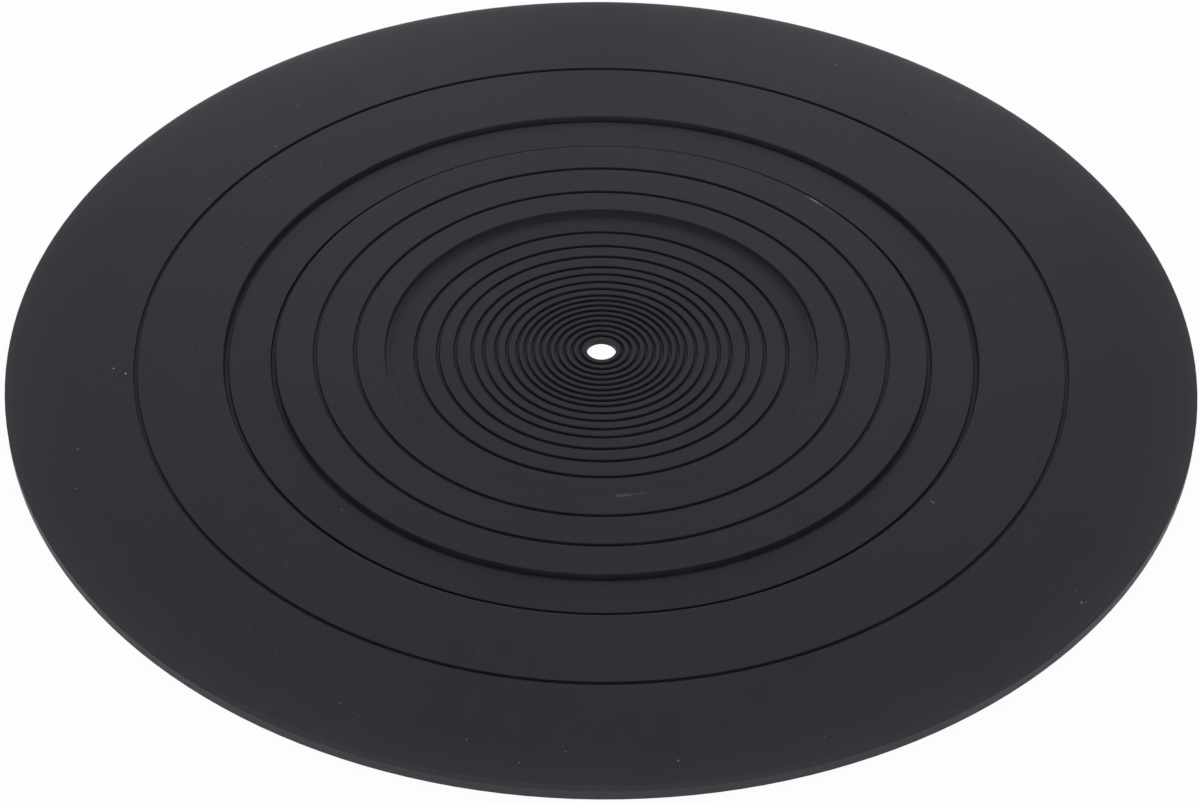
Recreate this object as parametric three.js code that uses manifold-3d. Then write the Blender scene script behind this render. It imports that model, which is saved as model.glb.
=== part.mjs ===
// A platter mat for a record player, moulded in one piece of black rubber. The disc has a spindle hole, a
// wide recess that a record's label hangs over, a shallow channel round it, and narrow ring grooves between
// flat lands. Millimetres, +Z up, with the origin at the centre of the underside.

import * as THREE from "three";
import { mergeVertices } from "three/addons/utils/BufferGeometryUtils.js";
import Module from "manifold-3d";

const wasm = await Module();
wasm.setup();

// What the mat is laid out for
const SPINDLE_DIAMETER = 7.2;
const SPINDLE_CLEARANCE = 0.15;
const RECORD_LABEL_DIAMETER = 100;
const RECORD_LABEL_CLEARANCE = 4.8;

// Disc
const MAT_DIAMETER = 300;
const MAT_THICKNESS = 3;
const RIM_ROUNDING_WIDTH = 1.4;
const RIM_ROUNDING_HEIGHT = 0.45;

// Label recess: an upright side, then a hollow foot that runs into a flat floor
const LABEL_FLOOR_THICKNESS = 1.45;
const LABEL_SIDE_HEIGHT = 1.15;
const LABEL_FOOT_WIDTH = 1.3;

// Grooves in the label recess: wide lands first, from its edge inwards, then an even pitch to the hole
const LABEL_GROOVE_WIDTH = 1;
const RUBBER_UNDER_LABEL_GROOVE = 0.55;
const WIDE_LABEL_STEPS = [7.6, 5.7, 4.4, 4.25, 2.95, 3.1, 2.8, 2.6];
const LABEL_GROOVE_PITCH = 2;
const HOLE_LAND_WIDTH = 1;

// Middle ring, from the label recess to the channel
const MIDDLE_RING_WIDTH = 27.5;
const MIDDLE_GROOVE_INSET = 7.6; // from the ring's inner edge
const MIDDLE_GROOVE_OUTSET = 9.8; // from the ring's outer edge

// Channel, with a deeper groove along each side
const CHANNEL_WIDTH = 13.35;
const CHANNEL_DEPTH = 0.95;
const CHANNEL_INNER_GROOVE_WIDTH = 1.35;
const CHANNEL_OUTER_GROOVE_WIDTH = 1.5;
const CHANNEL_GROOVE_DEPTH = 0.85;
const CHANNEL_INNER_SIDE_LEAN = 0.25; // how far each side leans in, from its lip to its foot
const CHANNEL_OUTER_SIDE_LEAN = 0.4;

// Outer ring, from the channel to the rim
const OUTER_GROOVE_INSET = 21.85; // from the ring's inner edge

// Grooves in the flat rings
const RING_GROOVE_WIDTH = 1.05;
const RING_GROOVE_DEPTH = 0.85;

// How far a groove's walls lean in, for each millimetre of depth
const MOULD_DRAFT = 0.07;

// Fineness of the model
const CHORD_TOLERANCE = 0.1; // the most that a straight side departs from its circle
const ROUNDING_STEPS = 4;
const FOOT_STEPS = 3;
const CUT_OVERRUN = 1; // how far a cutter stands proud of the face that it cuts
const MERGE_DISTANCE = 1e-3;

const RUBBER_COLOUR = 0x38363c;
const RUBBER_ROUGHNESS = 0.8;

const matRadius = MAT_DIAMETER / 2;
const holeRadius = SPINDLE_DIAMETER / 2 + SPINDLE_CLEARANCE;
const labelRadius = RECORD_LABEL_DIAMETER / 2 + RECORD_LABEL_CLEARANCE;
const channelInnerRadius = labelRadius + MIDDLE_RING_WIDTH;
const channelOuterRadius = channelInnerRadius + CHANNEL_WIDTH;

const topHeight = MAT_THICKNESS;
const channelHeight = topHeight - CHANNEL_DEPTH;
const cutTop = topHeight + CUT_OVERRUN;

// Profiles are points of radius and height.
function point(radius, height) {
  return new THREE.Vector2(radius, height);
}

// The points of an arc in a profile, with angles in radians from the outward direction. Its half width and
// half height may differ.
function arc(centreRadius, centreHeight, halfWidth, halfHeight, startAngle, endAngle, steps) {
  const points = [];
  for (let i = 0; i <= steps; i += 1) {
    const angle = startAngle + ((endAngle - startAngle) * i) / steps;
    const radius = centreRadius + halfWidth * Math.cos(angle);
    const height = centreHeight + halfHeight * Math.sin(angle);
    points.push(point(radius, height));
  }
  return points;
}

// The number of sides, a multiple of four, that keeps a circle within the tolerance.
function sidesOf(radius) {
  const halfSideAngle = Math.acos(1 - CHORD_TOLERANCE / radius);
  return 4 * Math.ceil(Math.PI / halfSideAngle / 4);
}

// A solid turned about the spindle's axis. The profile runs anticlockwise, with radius to the right and
// height up. It starts and ends on the axis, or it is closed here into a ring.
function turned(profile) {
  const onAxis = profile[0].x === 0;
  const outline = onAxis ? profile : [...profile, profile[0]];
  const widest = Math.max(...profile.map((corner) => corner.x));
  const lathe = new THREE.LatheGeometry(outline, sidesOf(widest));
  lathe.rotateX(Math.PI / 2);
  lathe.deleteAttribute("normal");
  lathe.deleteAttribute("uv");
  const merged = mergeVertices(lathe, MERGE_DISTANCE);
  const mesh = new wasm.Mesh({
    numProp: 3,
    vertProperties: merged.attributes.position.array,
    triVerts: new Uint32Array(merged.index.array),
  });
  return new wasm.Manifold(mesh);
}

// The plain disc with its upper edge rounded.
function discSolid() {
  const edge = arc(
    matRadius - RIM_ROUNDING_WIDTH,
    topHeight - RIM_ROUNDING_HEIGHT,
    RIM_ROUNDING_WIDTH,
    RIM_ROUNDING_HEIGHT,
    0,
    Math.PI / 2,
    ROUNDING_STEPS,
  );
  return turned([point(0, 0), point(matRadius, 0), ...edge, point(0, topHeight)]);
}

function holeCutter() {
  return turned([
    point(0, -CUT_OVERRUN),
    point(holeRadius, -CUT_OVERRUN),
    point(holeRadius, cutTop),
    point(0, cutTop),
  ]);
}

// The label recess. Its hollow foot is an arc that leaves the floor level and ends at the upright side.
function labelRecessCutter() {
  const rise = topHeight - LABEL_SIDE_HEIGHT - LABEL_FLOOR_THICKNESS;
  const sweep = 2 * Math.atan(rise / LABEL_FOOT_WIDTH);
  const footRadius = LABEL_FOOT_WIDTH / Math.sin(sweep);
  const down = -Math.PI / 2;
  const foot = arc(
    labelRadius - LABEL_FOOT_WIDTH,
    LABEL_FLOOR_THICKNESS + footRadius,
    footRadius,
    footRadius,
    down,
    down + sweep,
    FOOT_STEPS,
  );
  return turned([
    point(0, LABEL_FLOOR_THICKNESS),
    ...foot,
    point(labelRadius, cutTop),
    point(0, cutTop),
  ]);
}

// The channel: its floor stands between two deeper grooves, whose outer walls are the channel's own sides and
// lean in towards their feet.
function channelCutter() {
  const lean = CHANNEL_GROOVE_DEPTH * MOULD_DRAFT;
  const grooveFloor = channelHeight - CHANNEL_GROOVE_DEPTH;
  const floorInner = channelInnerRadius + CHANNEL_INNER_GROOVE_WIDTH;
  const floorOuter = channelOuterRadius - CHANNEL_OUTER_GROOVE_WIDTH;
  return turned([
    point(channelInnerRadius, cutTop),
    point(channelInnerRadius, topHeight),
    point(channelInnerRadius + CHANNEL_INNER_SIDE_LEAN, grooveFloor),
    point(floorInner - lean, grooveFloor),
    point(floorInner, channelHeight),
    point(floorOuter, channelHeight),
    point(floorOuter + lean, grooveFloor),
    point(channelOuterRadius - CHANNEL_OUTER_SIDE_LEAN, grooveFloor),
    point(channelOuterRadius, topHeight),
    point(channelOuterRadius, cutTop),
  ]);
}

// A ring groove whose mouth, at the height of the face that it cuts, has the given width.
function grooveCutter(radius, width, faceHeight, depth) {
  const half = width / 2;
  const floorHalf = half - depth * MOULD_DRAFT;
  return turned([
    point(radius - floorHalf, faceHeight - depth),
    point(radius + floorHalf, faceHeight - depth),
    point(radius + half, faceHeight),
    point(radius + half, faceHeight + CUT_OVERRUN),
    point(radius - half, faceHeight + CUT_OVERRUN),
    point(radius - half, faceHeight),
  ]);
}

// The radii of the grooves in the label recess, from the outermost inwards.
function labelGrooveRadii() {
  const innermost = holeRadius + HOLE_LAND_WIDTH + LABEL_GROOVE_WIDTH / 2;
  const radii = [];
  let radius = labelRadius;
  for (const step of WIDE_LABEL_STEPS) {
    radius -= step;
    radii.push(radius);
  }
  for (radius -= LABEL_GROOVE_PITCH; radius >= innermost; radius -= LABEL_GROOVE_PITCH) {
    radii.push(radius);
  }
  return radii;
}

function grooveCutters() {
  const ringRadii = [
    labelRadius + MIDDLE_GROOVE_INSET,
    channelInnerRadius - MIDDLE_GROOVE_OUTSET,
    channelOuterRadius + OUTER_GROOVE_INSET,
  ];
  const labelDepth = LABEL_FLOOR_THICKNESS - RUBBER_UNDER_LABEL_GROOVE;
  const rings = ringRadii.map((radius) =>
    grooveCutter(radius, RING_GROOVE_WIDTH, topHeight, RING_GROOVE_DEPTH),
  );
  const labels = labelGrooveRadii().map((radius) =>
    grooveCutter(radius, LABEL_GROOVE_WIDTH, LABEL_FLOOR_THICKNESS, labelDepth),
  );
  return [...rings, ...labels];
}

function geometryOf(solid) {
  const mesh = solid.getMesh();
  const geometry = new THREE.BufferGeometry();
  geometry.setAttribute("position", new THREE.BufferAttribute(mesh.vertProperties, 3));
  geometry.setIndex(new THREE.BufferAttribute(mesh.triVerts, 1));
  geometry.computeVertexNormals();
  return geometry;
}

function platterMat() {
  const cutters = [holeCutter(), labelRecessCutter(), channelCutter(), ...grooveCutters()];
  const solid = cutters.reduce((left, cutter) => left.subtract(cutter), discSolid());
  const rubber = new THREE.MeshStandardMaterial({
    color: RUBBER_COLOUR,
    roughness: RUBBER_ROUGHNESS,
    metalness: 0,
  });
  const mesh = new THREE.Mesh(geometryOf(solid), rubber);
  mesh.name = "platter_mat";
  return mesh;
}

const mat = new THREE.Group();
mat.add(platterMat());

export default mat;
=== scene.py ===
import math

import bpy
import numpy as np
from mathutils import Matrix, Vector


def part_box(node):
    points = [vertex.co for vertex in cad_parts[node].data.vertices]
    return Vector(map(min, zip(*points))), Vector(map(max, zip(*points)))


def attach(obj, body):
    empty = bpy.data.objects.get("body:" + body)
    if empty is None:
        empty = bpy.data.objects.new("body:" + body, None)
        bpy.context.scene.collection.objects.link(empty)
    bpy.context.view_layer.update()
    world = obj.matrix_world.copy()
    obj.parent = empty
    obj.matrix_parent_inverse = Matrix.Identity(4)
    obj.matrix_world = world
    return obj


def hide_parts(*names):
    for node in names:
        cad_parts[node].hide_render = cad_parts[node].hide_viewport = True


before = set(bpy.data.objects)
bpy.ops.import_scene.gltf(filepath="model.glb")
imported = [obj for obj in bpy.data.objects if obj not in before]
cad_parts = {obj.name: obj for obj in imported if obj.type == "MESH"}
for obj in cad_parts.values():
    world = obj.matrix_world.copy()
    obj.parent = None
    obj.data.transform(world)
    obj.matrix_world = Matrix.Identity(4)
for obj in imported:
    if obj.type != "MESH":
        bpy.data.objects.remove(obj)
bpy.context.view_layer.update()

# A record player's platter mat: one moulded disc of charcoal rubber, lying on a plain white ground.
# Metres. The spindle's axis is Z, and the underside lies at height 0.

MM = 0.001

# Section of the mat. The rim's radius and the thickness come from the frame.
MAT_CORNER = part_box("platter_mat")[1]
MAT_RADIUS = MAT_CORNER.x
TOP = MAT_CORNER.z
HOLE_RADIUS = 3.75 * MM
LABEL_RADIUS = 54.8 * MM
LABEL_FLOOR = 1.45 * MM
LABEL_LIP_OUTSET = 0.12 * MM
LABEL_SIDE_LEAN = 0.2 * MM
LABEL_FOOT_WIDTH = 0.9 * MM
LABEL_FOOT_HEIGHT = 0.22 * MM
CHANNEL_INNER_RADIUS = 82.3 * MM
CHANNEL_OUTER_RADIUS = 95.65 * MM
CHANNEL_FLOOR = TOP - 0.95 * MM
CHANNEL_INNER_GROOVE_WIDTH = 1.35 * MM
CHANNEL_OUTER_GROOVE_WIDTH = 1.5 * MM
CHANNEL_INNER_SIDE_LEAN = 0.25 * MM
CHANNEL_OUTER_SIDE_LEAN = 0.4 * MM
CHANNEL_GROOVE_FLOOR = CHANNEL_FLOOR - 0.85 * MM

RING_GROOVE_RADII = np.array([117.5, 72.5, 62.4]) * MM
RINGS_OUTSIDE_CHANNEL = 1
RING_GROOVE_WIDTH = 1.05 * MM
RING_GROOVE_DEPTH = 0.85 * MM

WIDE_LABEL_STEPS = np.array([7.6, 5.7, 4.4, 4.25, 2.95, 3.1, 2.8, 2.6]) * MM
LABEL_GROOVE_PITCH = 2 * MM
EVEN_LABEL_GROOVES = 8
LABEL_GROOVE_WIDTH = 1.0 * MM
LABEL_GROOVE_DEPTH = 0.9 * MM

MOULD_DRAFT = 0.07

# Roundings of the moulded edges: how far each curve starts before its corner, and ends after it
RIM_CROWN = 3.2 * MM
RIM_SHOULDER = 0.28 * MM
RIM_FOOT_ROUNDING = 0.06 * MM
GROOVE_LIP_ROUNDING = 0.15 * MM
GROOVE_FOOT_ROUNDING = 0.2 * MM
CHANNEL_LIP_ROUNDING = 0.28 * MM
LABEL_LIP_ROUNDING = 0.06 * MM
LABEL_FOOT_ROUNDING = 0.08 * MM
HOLE_ROUNDING = 0.1 * MM

# Fineness of the mesh
SECTORS = 176
LABEL_FOOT_POINTS = 5
ROUNDING_STEPS = 4
MOST_OF_A_SIDE = 0.45  # the largest share of a side that one rounding takes
HOLD = 0.08 * MM  # how far past its rounding a long side gets one more point
LONG_SIDE = 0.75 * MM  # a side is long where more than this is left past its rounding
LABEL_SIDE_REACH = 0.4 * MM  # how far from the recess's radius its side reaches

# Photograph's camera, measured from the circles of the mat
CAMERA_PLACE = Vector((0, -0.654252, 0.571761))
CAMERA_AIM = Vector((-0.000245, -0.02122, 0.003))
CAMERA_ROLL = math.radians(0.468)
CAMERA_LENS = 102.57
SENSOR_WIDTH = 36
NEAREST_SEEN = 0.01
FURTHEST_SEEN = 50

# Rubber's tones in linear light, of which the last two are a painted highlight and painted light, and two
# tints that multiply them
DEEP_TONE = (0.0120, 0.0115, 0.0164, 1)
CLOUD_TONE = (0.0163, 0.0156, 0.0216, 1)
BLOTCH_TONE = (0.0184, 0.0176, 0.0236, 1)
GRAIN_TONE = (0.0215, 0.0206, 0.0255, 1)
# Painted highlight: a paler tone laid on every rounded edge, as where the edges catch the light
EDGE_HIGHLIGHT_TONE = (0.030, 0.029, 0.034, 1)
# Painted light: a paler tone on the label recess's side, where light falls on it
LABEL_SIDE_LIGHT_TONE = (0.030, 0.029, 0.037, 1)
NEAR_TINT = (1.07, 0.95, 1.0, 1)
PATCH_TINT = (1.08, 0.97, 1.03, 1)

# How strongly each tone covers the one before it, where it is strongest
BLOTCH_COVER = 0.8
GRAIN_COVER = 0.3
# Painted highlight on the rounded edges
EDGE_HIGHLIGHT_COVER = 0.04
# Painted light on the label recess's side
LABEL_SIDE_LIGHT_COVER = 0.55

# Noises: scale, detail and roughness
CLOUD_NOISE = (18, 4, 0.55)
BLOTCH_NOISE = (130, 3, 0.6)
GRAIN_NOISE = (1600, 3, 0.6)
PATCH_NOISE = (210, 2, 0.5)
BAND_NOISE = (700, 2, 0.6)
SMUDGE_NOISE = (400, 2, 0.6)

# Values of each noise between which it takes hold
CLOUD_SPAN = (0.3, 0.7)
BLOTCH_SPAN = (0.4, 0.65)
GRAIN_SPAN = (0.5, 0.8)
PATCH_SPAN = (0.4, 0.6)
BAND_SPAN = (0.35, 0.6)
SMUDGE_SPAN = (0.35, 0.65)

# The mat is redder before this span of Y, whose edge the clouds shift
NEAR_SPAN = (-0.07, 0.0)
NEAR_CLOUD_SHIFT = 0.06

# Gloss and fine relief of the rubber. Its roughness follows the blotches.
ROUGHNESS_SPAN = (0.2, 0.8)
ROUGHNESS = (0.5, 0.6)
GLOSS = 0.32
LABEL_SIDE_GLOSS = 0.10
GLOSS_TINT = (0.85, 0.835, 1.0, 1)
GRAIN_BUMP = 0.12
GRAIN_HEIGHT = 0.2 * MM

# Painted light at the rim, scuffs and painted light in bands, smudges and dust: the heights between which
# they fade in at the foot of the rim, and their colours
MARKS_AND_PAINTED_LIGHT_SPAN = (0.02 * MM, 0.1 * MM)
RIM_LIGHT_COLOUR = (0.50, 0.47, 0.48, 1)
SCUFF_AND_LIGHT_COLOUR = (0.8, 0.8, 0.82, 1)
SMUDGE_COLOUR = (0.50, 0.49, 0.50, 1)
DUST_COLOUR = (0.55, 0.54, 0.56, 1)

# Painted light on the rubber towards the rim, paler towards its edge: share of the mat's radius, and how
# much is painted
RIM_PAINTED_LIGHT = (
    (0.895, 0.0), (0.93, 0.0045), (0.965, 0.012),
    (0.985, 0.0185), (0.9915, 0.030), (0.9985, 0.040),
)

# Paler bands round the spindle: radius and half width in millimetres, both ends as angles in degrees, and
# how pale. Two are rubbed on the lip of the middle ring, two on the lip of the label recess. Two are
# painted light along the near edge of the rim, and the widest is painted light that lifts the shade on the
# label floor by its far side.
SCUFF_AND_LIGHT_BANDS = (
    (81.9, 0.30, 44.0, 48.6, 0.26),
    (82.0, 0.25, 40.8, 44.4, 0.06),
    (55.5, 0.40, 273.6, 278.2, 0.12),
    (55.4, 0.35, 277.4, 282.0, 0.05),
    # Painted light: the near edge of the rim made paler, where light falls on it
    (149.3, 0.70, 226.0, 294.0, 0.014),
    (149.8, 0.50, 301.0, 311.0, 0.012),
    # Painted light: lifts the shade on the label floor by its far side
    (51.4, 1.7, 10.0, 170.0, 0.010),
)
WHOLE_BAND = 0.5  # share of a band's half length and half width within which it is whole
BAND_FADE_END = 1.5  # share of its half width by which it has gone
BAND_THIN = 0.3  # share of it that is left where the noise breaks it up

# Paler smudges on the rubber: place and radius in millimetres, and how pale each is at its middle
SMUDGES = (
    (-36.9, 25.2, 6.0, 0.012), (-30.0, 20.5, 5.0, 0.009), (31.1, -31.1, 6.0, 0.012),
    (-13.6, 42.3, 4.0, 0.013), (8.8, -44.1, 5.0, 0.006), (93.1, 111.9, 16.0, 0.008),
    (83.0, 120.3, 8.0, 0.007), (103.5, 103.5, 8.0, 0.007), (71.4, 128.0, 8.0, 0.006),
    (14.9, 145.5, 10.0, 0.010), (-10.0, 146.0, 9.0, 0.006), (-133.6, 60.3, 9.0, 0.007),
    (142.5, -44.1, 7.0, 0.007), (-72.0, 124.0, 9.0, 0.006), (-84.0, 117.0, 8.0, 0.006),
)
SMUDGE_STRENGTH = (0.5, 1.2)  # by which the noise thins or thickens a smudge

# Dust caught on the top face: place, radius (all in millimetres) and how pale it is
DUST = (
    (-119.3, -12.4, 0.25, 1.00), (-122.5, -10.5, 0.23, 0.75), (112.8, -90.3, 0.28, 0.45),
    (17.9, -140.9, 0.28, 0.32), (80.4, -56.8, 0.30, 0.28), (79.9, -56.4, 0.24, 0.28),
    (-76.1, 72.8, 0.28, 0.20), (-88.8, 80.9, 0.28, 0.20), (-127.9, -40.6, 0.34, 0.18),
    (-29.5, -135.1, 0.28, 0.18), (64.8, 120.4, 0.30, 0.18), (-17.5, -141.9, 0.28, 0.16),
    (-90.8, 67.8, 0.28, 0.16), (98.4, 105.1, 0.28, 0.16), (-104.6, 58.1, 0.30, 0.16),
    (-126.6, -54.4, 0.28, 0.16), (-58.6, -124.4, 0.28, 0.14), (-62.2, -60.0, 0.28, 0.14),
    (-7.3, -138.5, 0.28, 0.14), (-84.1, 99.4, 0.36, 0.14), (60.3, 43.5, 0.28, 0.12),
    (113.9, -90.1, 0.28, 0.12), (-94.7, 37.7, 0.28, 0.12), (84.7, 98.5, 0.28, 0.12),
    (50.8, -133.3, 0.28, 0.12), (111.8, -86.4, 0.32, 0.11), (-103.5, -2.9, 0.32, 0.11),
    (105.3, 81.3, 0.28, 0.11),
)
SPECK_EDGE = (0.6, 1.2)  # shares of its radius over which a speck fades out

# Finer specks, scattered one to a cell in some of the cells of a pattern
SCATTER_SCALE = 150
SCATTER_PICKED = 0.88  # a cell has a speck where its random value is above this
SCATTER_PALENESS = (0.02, 0.08)
SCATTER_EDGE = (0.022, 0.048)  # distances from its middle, in cells, between which a speck fades out
STIR_SCALE = 900
STIR_REACH = 0.4 * MM  # how far the noise moves a place

# Ground: size, depth below the mat, colour, and how much of what is seen of it is plain white
GROUND_HALF_WIDTH = 6.0
GROUND_DROP = 0.2 * MM
GROUND_COLOUR = (0.86, 0.86, 0.86, 1)
GROUND_WHITE_SHARE = 0.96

# The two low boxes of light behind the mat: size, place and power in watts
BOX_WIDTH = 0.16
BOX_DEPTH = 0.06
BOX_ASIDE = 0.09
BOX_BEHIND = 0.2
BOX_HEIGHT = 0.03
BOX_POWER = 0.022

# The room's strength, and its level each way against height, the sine of the angle above the horizon
ROOM_LEVEL = 1.34
ROOM_BEHIND = ((0.0, 0.95), (0.38, 0.79), (0.60, 0.48), (0.79, 0.64), (0.96, 0.42))
ROOM_BEFORE = ((0.0, 1.10), (0.38, 1.00), (0.60, 0.72), (0.79, 0.50), (0.96, 0.36))
ROOM_BESIDE = ((0.0, 0.10), (0.38, 0.25), (0.60, 0.42), (0.79, 0.42), (0.96, 0.36))
ROOM_TURN = (-0.1, 0.1)  # values of the direction's Y over which before turns to behind
SMALLEST_FLAT = 0.0001  # keeps the sideways share from a division by nothing straight up


def corner(radius, height, before, after=None):
    """A corner of the section: its place, and how far its rounding reaches back and on from it."""
    return radius, height, before, before if after is None else after


def label_groove_radii():
    """Radii of the label grooves: wide steps summed inwards from the recess's edge, then even ones."""
    wide = LABEL_RADIUS - np.cumsum(WIDE_LABEL_STEPS)
    even = wide[-1] - LABEL_GROOVE_PITCH * np.arange(1, EVEN_LABEL_GROOVES + 1)
    return np.concatenate([wide, even])


def groove_corners(radii, width, face, depth):
    """Four corners of each groove, from its outer lip down, across its floor and up to its inner lip.

    The floor is narrower than the mouth by the draft on each wall."""
    half = width / 2
    foot = half - depth * MOULD_DRAFT
    across = np.array([half, foot, -foot, -half])
    down = np.array([face, face - depth, face - depth, face])
    r = radii[:, None] + across[None, :]
    z = np.broadcast_to(down, r.shape)
    lip, floor = GROOVE_LIP_ROUNDING, GROOVE_FOOT_ROUNDING
    cut = np.broadcast_to([lip, floor, floor, lip], r.shape)
    return np.stack([r, z, cut, cut], axis=-1).reshape(-1, 4)


def channel_corners():
    """Corners of the channel from its outer lip inwards: groove, raised floor, groove."""
    lean = (CHANNEL_FLOOR - CHANNEL_GROOVE_FLOOR) * MOULD_DRAFT
    floor_outer = CHANNEL_OUTER_RADIUS - CHANNEL_OUTER_GROOVE_WIDTH
    floor_inner = CHANNEL_INNER_RADIUS + CHANNEL_INNER_GROOVE_WIDTH
    return np.array([
        corner(CHANNEL_OUTER_RADIUS, TOP, CHANNEL_LIP_ROUNDING),
        corner(CHANNEL_OUTER_RADIUS - CHANNEL_OUTER_SIDE_LEAN, CHANNEL_GROOVE_FLOOR, GROOVE_FOOT_ROUNDING),
        corner(floor_outer + lean, CHANNEL_GROOVE_FLOOR, GROOVE_FOOT_ROUNDING),
        corner(floor_outer, CHANNEL_FLOOR, GROOVE_LIP_ROUNDING),
        corner(floor_inner, CHANNEL_FLOOR, GROOVE_LIP_ROUNDING),
        corner(floor_inner - lean, CHANNEL_GROOVE_FLOOR, GROOVE_FOOT_ROUNDING),
        corner(CHANNEL_INNER_RADIUS + CHANNEL_INNER_SIDE_LEAN, CHANNEL_GROOVE_FLOOR, GROOVE_FOOT_ROUNDING),
        corner(CHANNEL_INNER_RADIUS, TOP, GROOVE_LIP_ROUNDING),
    ])


def label_side_corners():
    """The label recess's side: steep from its lip, then an arc that runs level into the floor.

    The arc turns by twice the angle whose tangent is its height over its width."""
    sweep = 2 * math.atan(LABEL_FOOT_HEIGHT / LABEL_FOOT_WIDTH)
    foot_radius = LABEL_FOOT_WIDTH / math.sin(sweep)
    angle = np.linspace(sweep, 0, LABEL_FOOT_POINTS)
    r = LABEL_RADIUS - LABEL_SIDE_LEAN - LABEL_FOOT_WIDTH + foot_radius * np.sin(angle)
    z = LABEL_FLOOR + foot_radius * (1 - np.cos(angle))
    cut = np.full(LABEL_FOOT_POINTS, LABEL_FOOT_ROUNDING)
    foot = np.stack([r, z, cut, cut], axis=-1)
    lip = corner(LABEL_RADIUS + LABEL_LIP_OUTSET, TOP, LABEL_LIP_ROUNDING)
    return np.vstack([[lip], foot])


def mat_corners():
    """Corners of the whole section, anticlockwise from the foot of the hole."""
    outer_radii = RING_GROOVE_RADII[:RINGS_OUTSIDE_CHANNEL]
    middle_radii = RING_GROOVE_RADII[RINGS_OUTSIDE_CHANNEL:]
    return np.vstack([
        [corner(HOLE_RADIUS, 0, HOLE_ROUNDING)],
        [corner(MAT_RADIUS, 0, RIM_FOOT_ROUNDING)],
        [corner(MAT_RADIUS, TOP, RIM_SHOULDER, RIM_CROWN)],
        groove_corners(outer_radii, RING_GROOVE_WIDTH, TOP, RING_GROOVE_DEPTH),
        channel_corners(),
        groove_corners(middle_radii, RING_GROOVE_WIDTH, TOP, RING_GROOVE_DEPTH),
        label_side_corners(),
        groove_corners(label_groove_radii(), LABEL_GROOVE_WIDTH, LABEL_FLOOR, LABEL_GROOVE_DEPTH),
        [corner(HOLE_RADIUS, LABEL_FLOOR, HOLE_ROUNDING)],
    ])


def rounded_outline(corners):
    """Closed outline whose corners are quadratic Bezier curves.

    Each curve runs from the corner drawn back along the side before it to the corner drawn on along the
    side after it, with the corner itself as its middle control point. Where a side is long, one more point
    a little further out on it keeps the shading of the flat level. Returns the points, and how rounded each
    one is: the sine of its way along the curve, taken as half a turn, and nothing off the curve."""
    place = corners[:, :2]
    before = np.roll(place, 1, axis=0) - place
    after = np.roll(place, -1, axis=0) - place
    length_before = np.linalg.norm(before, axis=1, keepdims=True)
    length_after = np.linalg.norm(after, axis=1, keepdims=True)
    cut_before = np.minimum(corners[:, 2:3], MOST_OF_A_SIDE * length_before)
    cut_after = np.minimum(corners[:, 3:4], MOST_OF_A_SIDE * length_after)
    start = place + before / length_before * cut_before
    end = place + after / length_after * cut_after
    t = np.linspace(0, 1, ROUNDING_STEPS + 1)[None, :, None]
    curve = (1 - t) ** 2 * start[:, None] + 2 * t * (1 - t) * place[:, None] + t ** 2 * end[:, None]
    hold_before = place + before / length_before * (cut_before + HOLD)
    hold_after = place + after / length_after * (cut_after + HOLD)
    points = np.concatenate([hold_before[:, None], curve, hold_after[:, None]], axis=1)
    keep = np.ones(points.shape[:2], bool)
    keep[:, 0] = (length_before > cut_before + LONG_SIDE)[:, 0]
    keep[:, -1] = (length_after > cut_after + LONG_SIDE)[:, 0]
    bend = np.zeros(points.shape[:2])
    bend[:, 1:-1] = np.sin(np.linspace(0, math.pi, ROUNDING_STEPS + 1))
    return points[keep], bend[keep]


def label_side_share(outline):
    """How steep the outline is about each point, from 0 level to 1 upright, on the recess's side alone.

    A step's steepness is its height over its length, and a point has the mean of its two steps."""
    step = np.roll(outline, -1, axis=0) - outline
    steep = np.abs(step[:, 1]) / np.linalg.norm(step, axis=1)
    steep = (steep + np.roll(steep, 1)) / 2
    return np.where(np.abs(outline[:, 0] - LABEL_RADIUS) < LABEL_SIDE_REACH, steep, 0)


def turned_mesh(name, outline, shares):
    """A closed mesh: every outline point carried round the Z axis.

    Its place is its radius times the cosine and sine of the angle, and its height. Each of the shares, a
    value for every outline point, becomes an attribute of the mesh."""
    angle = np.arange(SECTORS) * 2 * math.pi / SECTORS
    r, z = outline[:, 0], outline[:, 1]
    x = np.cos(angle)[:, None] * r[None, :]
    y = np.sin(angle)[:, None] * r[None, :]
    vertices = np.stack([x, y, np.broadcast_to(z, x.shape)], axis=-1).reshape(-1, 3)
    count = len(outline)
    sector = np.arange(SECTORS)[:, None]
    along = np.arange(count)[None, :]
    here = sector * count
    there = (sector + 1) % SECTORS * count
    onward = (along + 1) % count
    quads = np.stack([here + along, there + along, there + onward, here + onward], axis=-1)
    quads = quads.reshape(-1, 4)
    mesh = bpy.data.meshes.new(name)
    mesh.vertices.add(len(vertices))
    mesh.vertices.foreach_set("co", vertices.astype(np.float32).ravel())
    mesh.loops.add(quads.size)
    mesh.loops.foreach_set("vertex_index", quads.astype(np.int32).ravel())
    mesh.polygons.add(len(quads))
    mesh.polygons.foreach_set("loop_start", np.arange(0, quads.size, 4, dtype=np.int32))
    mesh.polygons.foreach_set("use_smooth", np.ones(len(quads), bool))
    for share, values in shares.items():
        attribute = mesh.attributes.new(share, "FLOAT", "POINT")
        attribute.data.foreach_set("value", np.tile(values, SECTORS).astype(np.float32))
    mesh.update(calc_edges=True)
    mesh.validate()
    return mesh


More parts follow.
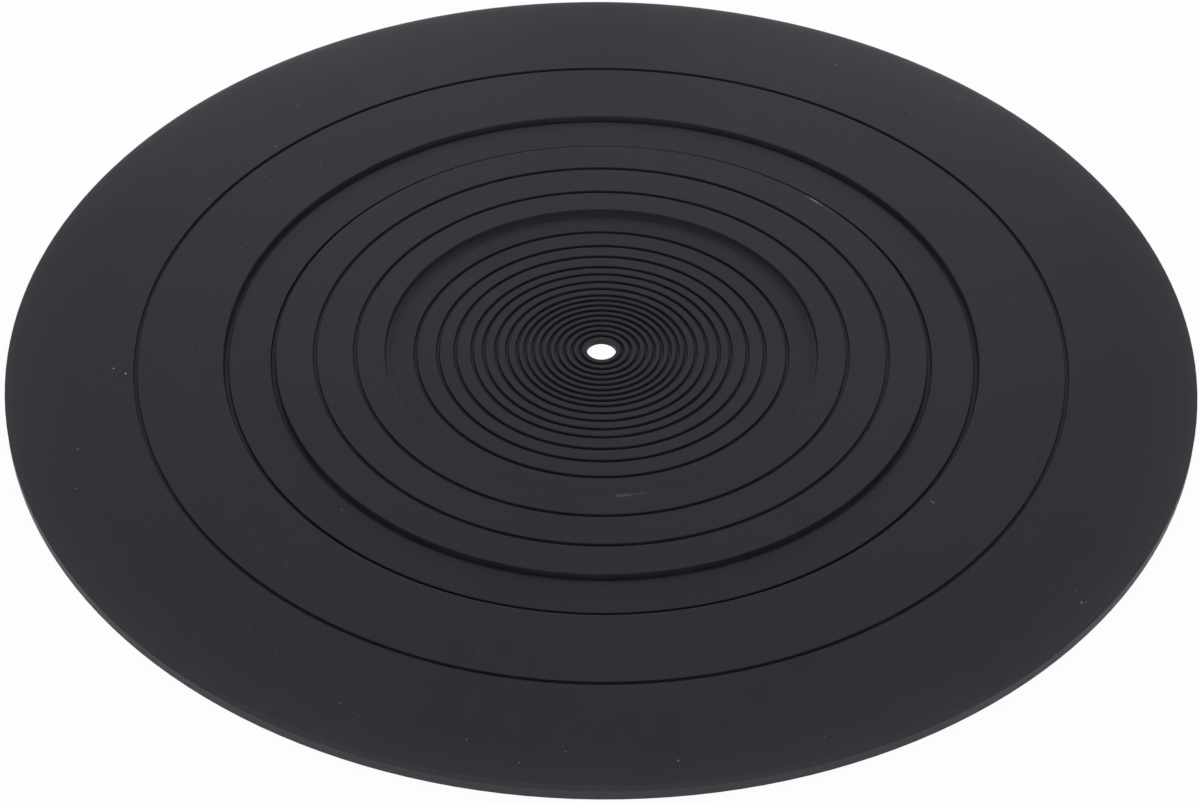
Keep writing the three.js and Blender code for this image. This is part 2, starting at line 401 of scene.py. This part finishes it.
class Nodes:
    """A node tree with short ways to add and join nodes."""

    def __init__(self, tree):
        self.tree = tree

    def put(self, socket, value):
        """Joins a socket to another one, or sets its value."""
        if isinstance(value, bpy.types.NodeSocket):
            self.tree.links.new(value, socket)
        else:
            socket.default_value = value

    def node(self, kind, inputs=None, **settings):
        """A new node with its settings, and with its inputs joined or set."""
        made = self.tree.nodes.new(kind)
        for key, value in settings.items():
            setattr(made, key, value)
        for key, value in (inputs or {}).items():
            self.put(made.inputs[key], value)
        return made

    def math(self, operation, *values):
        """The result of a sum on numbers."""
        return self.node("ShaderNodeMath", dict(enumerate(values)), operation=operation).outputs[0]

    def vector(self, operation, *values, output="Vector"):
        """The result of a sum on places, itself a place or a number."""
        made = self.node("ShaderNodeVectorMath", dict(enumerate(values)), operation=operation)
        return made.outputs[output]

    def share(self, name):
        """An attribute of the mesh."""
        return self.node("ShaderNodeAttribute", attribute_name=name).outputs["Fac"]

    def noise(self, place, scale, detail, roughness):
        """A cloudy noise read at a place, between 0 and 1."""
        inputs = {"Vector": place, "Scale": scale, "Detail": detail, "Roughness": roughness}
        return self.node("ShaderNodeTexNoise", inputs).outputs["Fac"]

    def ramp(self, value, span, levels=(0.0, 1.0)):
        """A value carried evenly from a span to a pair of levels, and held level beyond its ends."""
        inputs = {
            "Value": value,
            "From Min": span[0],
            "From Max": span[1],
            "To Min": levels[0],
            "To Max": levels[1],
        }
        return self.node("ShaderNodeMapRange", inputs, clamp=True).outputs["Result"]

    def curve(self, value, stops):
        """A value read off a line through stops of (place, level)."""
        made = self.node("ShaderNodeValToRGB", {"Fac": value})
        elements = made.color_ramp.elements
        while len(elements) < len(stops):
            elements.new(0.5)  # moved to its own place below
        for element, (place, level) in zip(elements, stops):
            element.position = place
            element.color = (level, level, level, 1)
        return made.outputs["Color"]

    def mix(self, factor, first, second, blend="MIX"):
        """Two colours mixed. The colour mixer's own sockets are 0, 6 and 7 in, and 2 out."""
        made = self.node("ShaderNodeMix", data_type="RGBA", blend_type=blend)
        self.put(made.inputs[0], factor)
        self.put(made.inputs[6], first)
        self.put(made.inputs[7], second)
        return made.outputs[2]


def new_material(name):
    """A new material, its nodes and its surface shader."""
    material = bpy.data.materials.new(name)
    material.use_nodes = True
    n = Nodes(material.node_tree)
    return material, n, material.node_tree.nodes["Principled BSDF"]


def rubber_tone(n, place, y, blotch, grain):
    """The clean rubber's tone: noises of three scales, each laid over the one before.

    Small patches of it are tinted by a fourth noise, and the near part of the mat is redder."""
    cloud = n.noise(place, *CLOUD_NOISE)
    tone = n.mix(n.ramp(cloud, CLOUD_SPAN), DEEP_TONE, CLOUD_TONE)
    tone = n.mix(n.ramp(blotch, BLOTCH_SPAN, (0, BLOTCH_COVER)), tone, BLOTCH_TONE)
    tone = n.mix(n.ramp(grain, GRAIN_SPAN, (0, GRAIN_COVER)), tone, GRAIN_TONE)
    shifted = n.math("ADD", y, n.math("MULTIPLY", cloud, NEAR_CLOUD_SHIFT))
    tone = n.mix(n.ramp(shifted, NEAR_SPAN, (1, 0)), tone, NEAR_TINT, "MULTIPLY")
    patch = n.ramp(n.noise(place, *PATCH_NOISE), PATCH_SPAN)
    return n.mix(patch, tone, PATCH_TINT, "MULTIPLY")


def painted_rim_light(n, radius):
    """How much painted light the rim gets, read off its line against the distance from the spindle's axis.
    """
    inner = RIM_PAINTED_LIGHT[0][0]
    line = [((share - inner) / (1 - inner), lighter) for share, lighter in RIM_PAINTED_LIGHT]
    return n.curve(n.ramp(radius, (inner * MAT_RADIUS, MAT_RADIUS)), line)


def scuffs_and_painted_light(n, place, x, y, radius):
    """How much paler the bands make a place: narrow rings, each between two angles, broken up by noise.

    A ring fades evenly towards both its ends and both its sides. Some bands are scuffs, and some are
    painted light."""
    turn = n.math("ARCTAN2", n.math("MULTIPLY", y, -1), n.math("MULTIPLY", x, -1))
    angle = n.math("ADD", turn, math.pi)
    broken = n.ramp(n.noise(place, *BAND_NOISE), BAND_SPAN, (BAND_THIN, 1))
    pale = 0.0
    for band, half_width, first, last, paleness in SCUFF_AND_LIGHT_BANDS:
        middle = math.radians(first + last) / 2
        half_angle = math.radians(last - first) / 2
        turned = n.math("ABSOLUTE", n.math("SUBTRACT", angle, middle))
        along = n.ramp(turned, (WHOLE_BAND * half_angle, half_angle), (paleness, 0))
        off = n.math("ABSOLUTE", n.math("SUBTRACT", radius, band * MM))
        across = n.ramp(off, (WHOLE_BAND * half_width * MM, BAND_FADE_END * half_width * MM), (1, 0))
        pale = n.math("MAXIMUM", pale, n.math("MULTIPLY", along, across))
    return n.math("MULTIPLY", pale, broken)


def smudges(n, flat):
    """How smudged a place is: round patches, each fading evenly from its middle, summed and broken up."""
    smudged = 0.0
    for x, y, radius, paleness in SMUDGES:
        away = n.vector("DISTANCE", flat, (x * MM, y * MM, 0), output="Value")
        smudged = n.math("ADD", smudged, n.ramp(away, (0, radius * MM), (paleness, 0)))
    broken = n.ramp(n.noise(flat, *SMUDGE_NOISE), SMUDGE_SPAN, SMUDGE_STRENGTH)
    return n.math("MULTIPLY", smudged, broken)


def dust(n, flat):
    """How dusty a place is: each measured speck is a soft dot, and finer specks lie scattered.

    The scattered ones are dots about the points of a plane Voronoi pattern, in the one cell in eight whose
    random value is high. A noise stirs the place that they are read at, so they aren't quite round."""
    dusty = 0.0
    for x, y, radius, paleness in DUST:
        away = n.vector("DISTANCE", flat, (x * MM, y * MM, 0), output="Value")
        edge = [share * radius * MM for share in SPECK_EDGE]
        dusty = n.math("MAXIMUM", dusty, n.ramp(away, edge, (paleness, 0)))
    stir = n.node("ShaderNodeTexNoise", {"Vector": flat, "Scale": STIR_SCALE, "Detail": 1}).outputs["Color"]
    stir = n.node("ShaderNodeVectorMath", {0: stir, "Scale": STIR_REACH}, operation="SCALE").outputs[0]
    stirred = n.vector("ADD", flat, stir)
    pattern = {"Vector": stirred, "Scale": SCATTER_SCALE}
    cells = n.node("ShaderNodeTexVoronoi", pattern, voronoi_dimensions="2D")
    drawn = n.node("ShaderNodeSeparateColor", {0: cells.outputs["Color"]}).outputs
    picked = n.math("GREATER_THAN", drawn[0], SCATTER_PICKED)
    faint = n.ramp(drawn[1], (0, 1), SCATTER_PALENESS)
    dot = n.ramp(cells.outputs["Distance"], SCATTER_EDGE, (1, 0))
    dot = n.math("MULTIPLY", dot, n.math("MULTIPLY", picked, faint))
    return n.math("MAXIMUM", dusty, dot)


def charcoal_rubber():
    """Moulded rubber: charcoal with a violet cast, cloudy and finely grained, dusty, and with painted light
    at its rim.

    Painted light at the rim, bands of scuffs and painted light, smudges and dust cover the clean tone in
    that order. They all stop at the foot of the rim, so the underside is plain. The rounded edges get a
    painted highlight, and the label recess's side a paler tone, painted light, and a gloss of its own."""
    material, n, surface = new_material("charcoal_rubber")
    place = n.node("ShaderNodeTexCoord").outputs["Object"]
    flat = n.vector("MULTIPLY", place, (1, 1, 0))
    x, y, z = n.node("ShaderNodeSeparateXYZ", {0: place}).outputs
    radius = n.math("SQRT", n.math("ADD", n.math("MULTIPLY", x, x), n.math("MULTIPLY", y, y)))
    blotch = n.noise(place, *BLOTCH_NOISE)
    grain = n.noise(place, *GRAIN_NOISE)
    label_side = n.share("label_side")

    tone = rubber_tone(n, place, y, blotch, grain)
    # Painted highlight: the rounded edges a little paler
    tone = n.mix(n.math("MULTIPLY", n.share("edge_rounding"), EDGE_HIGHLIGHT_COVER), tone, EDGE_HIGHLIGHT_TONE)
    # Painted light: the label recess's side paler
    tone = n.mix(n.math("MULTIPLY", label_side, LABEL_SIDE_LIGHT_COVER), tone, LABEL_SIDE_LIGHT_TONE)
    # The rim's cover is painted light, and the bands are partly scuffs and partly painted light
    covers = (
        (painted_rim_light(n, radius), RIM_LIGHT_COLOUR),
        (scuffs_and_painted_light(n, place, x, y, radius), SCUFF_AND_LIGHT_COLOUR),
        (smudges(n, flat), SMUDGE_COLOUR),
        (dust(n, flat), DUST_COLOUR),
    )
    above = n.ramp(z, MARKS_AND_PAINTED_LIGHT_SPAN)
    for cover, colour in covers:
        tone = n.mix(n.math("MULTIPLY", above, cover), tone, colour)

    n.put(surface.inputs["Base Color"], tone)
    n.put(surface.inputs["Roughness"], n.ramp(blotch, ROUGHNESS_SPAN, ROUGHNESS))
    n.put(surface.inputs["Specular IOR Level"], n.ramp(label_side, (0, 1), (GLOSS, LABEL_SIDE_GLOSS)))
    n.put(surface.inputs["Specular Tint"], GLOSS_TINT)
    bump = n.node("ShaderNodeBump", {"Strength": GRAIN_BUMP, "Distance": GRAIN_HEIGHT, "Height": grain})
    n.put(surface.inputs["Normal"], bump.outputs["Normal"])
    return material


def white_ground():
    """White ground: lit as a pale diffuse sheet, but almost pure white to the camera and in gloss."""
    material, n, surface = new_material("white_ground")
    n.put(surface.inputs["Base Color"], GROUND_COLOUR)
    n.put(surface.inputs["Roughness"], 1.0)
    n.put(surface.inputs["Specular IOR Level"], 0.0)
    rays = n.node("ShaderNodeLightPath")
    seen = n.math("MAXIMUM", rays.outputs["Is Camera Ray"], rays.outputs["Is Glossy Ray"])
    seen = n.math("MAXIMUM", seen, rays.outputs["Is Transmission Ray"])
    share = n.math("MULTIPLY", seen, GROUND_WHITE_SHARE)
    glow = n.node("ShaderNodeEmission", {"Color": (1, 1, 1, 1), "Strength": 1.0})
    both = n.node("ShaderNodeMixShader", {0: share, 1: surface.outputs[0], 2: glow.outputs[0]})
    n.put(n.tree.nodes["Material Output"].inputs["Surface"], both.outputs[0])
    return material


def platter_mat():
    """The whole mat in one piece, in the place of the solid."""
    outline, bend = rounded_outline(mat_corners())
    shares = {"edge_rounding": bend, "label_side": label_side_share(outline)}
    mesh = turned_mesh("rubber_mat", outline, shares)
    mesh.materials.append(charcoal_rubber())
    mat = bpy.data.objects.new("rubber_mat", mesh)
    bpy.context.scene.collection.objects.link(mat)
    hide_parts("platter_mat")
    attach(mat, "root")


def ground():
    """A wide level sheet, a little below the mat."""
    side = GROUND_HALF_WIDTH
    low = -GROUND_DROP
    corners = [(-side, -side, low), (side, -side, low), (side, side, low), (-side, side, low)]
    mesh = bpy.data.meshes.new("ground")
    mesh.from_pydata(corners, [], [(0, 1, 2, 3)])
    mesh.materials.append(white_ground())
    sheet = bpy.data.objects.new("ground", mesh)
    bpy.context.scene.collection.objects.link(sheet)


def facing(place, aim):
    """The placing of a camera or lamp that stands at one point and faces another, with its top upwards."""
    turn = (aim - place).to_track_quat("-Z", "Y").to_matrix().to_4x4()
    return Matrix.Translation(place) @ turn


def camera():
    """The photograph's camera: before the mat and above it, a little rolled."""
    data = bpy.data.cameras.new("camera")
    data.lens = CAMERA_LENS
    data.sensor_fit = "HORIZONTAL"
    data.sensor_width = SENSOR_WIDTH
    data.clip_start = NEAREST_SEEN
    data.clip_end = FURTHEST_SEEN
    eye = bpy.data.objects.new("camera", data)
    eye.matrix_world = facing(CAMERA_PLACE, CAMERA_AIM) @ Matrix.Rotation(CAMERA_ROLL, 4, "Z")
    bpy.context.scene.collection.objects.link(eye)
    bpy.context.scene.camera = eye


def low_box(sideways):
    """A soft box that stands low behind the mat and faces the spindle's axis, level."""
    data = bpy.data.lights.new("low_box", "AREA")
    data.shape = "RECTANGLE"
    data.size = BOX_WIDTH
    data.size_y = BOX_DEPTH
    data.energy = BOX_POWER
    lamp = bpy.data.objects.new("low_box", data)
    lamp.visible_camera = False
    lamp.matrix_world = facing(Vector((sideways, BOX_BEHIND, BOX_HEIGHT)), Vector((0, 0, BOX_HEIGHT)))
    bpy.context.scene.collection.objects.link(lamp)


def room():
    """The room's light by direction.

    Behind the mat and before it the room is bright low down, as a backdrop and a window are, and at its
    sides it is dim there. Each way has its own line of level against height. The three are mixed by the
    square of the sideways part of the direction, and by which way it points. The camera sees white."""
    world = bpy.data.worlds.new("room")
    bpy.context.scene.world = world
    world.use_nodes = True
    n = Nodes(world.node_tree)
    n.tree.nodes.clear()
    direction = n.node("ShaderNodeTexCoord").outputs["Generated"]
    x, y, z = n.node("ShaderNodeSeparateXYZ", {0: direction}).outputs
    level = n.mix(n.ramp(y, ROOM_TURN), n.curve(z, ROOM_BEFORE), n.curve(z, ROOM_BEHIND))
    sideways = n.math("MULTIPLY", x, x)
    flat = n.math("MAXIMUM", n.math("ADD", sideways, n.math("MULTIPLY", y, y)), SMALLEST_FLAT)
    level = n.mix(n.math("DIVIDE", sideways, flat), level, n.curve(z, ROOM_BESIDE))
    lit = n.node("ShaderNodeBackground", {"Color": level, "Strength": ROOM_LEVEL})
    white = n.node("ShaderNodeBackground", {"Strength": 1.0})
    seen = n.node("ShaderNodeLightPath").outputs["Is Camera Ray"]
    both = n.node("ShaderNodeMixShader", {0: seen, 1: lit.outputs[0], 2: white.outputs[0]})
    n.node("ShaderNodeOutputWorld", {"Surface": both.outputs[0]})


platter_mat()
ground()
camera()
low_box(-BOX_ASIDE)
low_box(BOX_ASIDE)
room()
bpy.context.scene.view_settings.view_transform = "Standard"
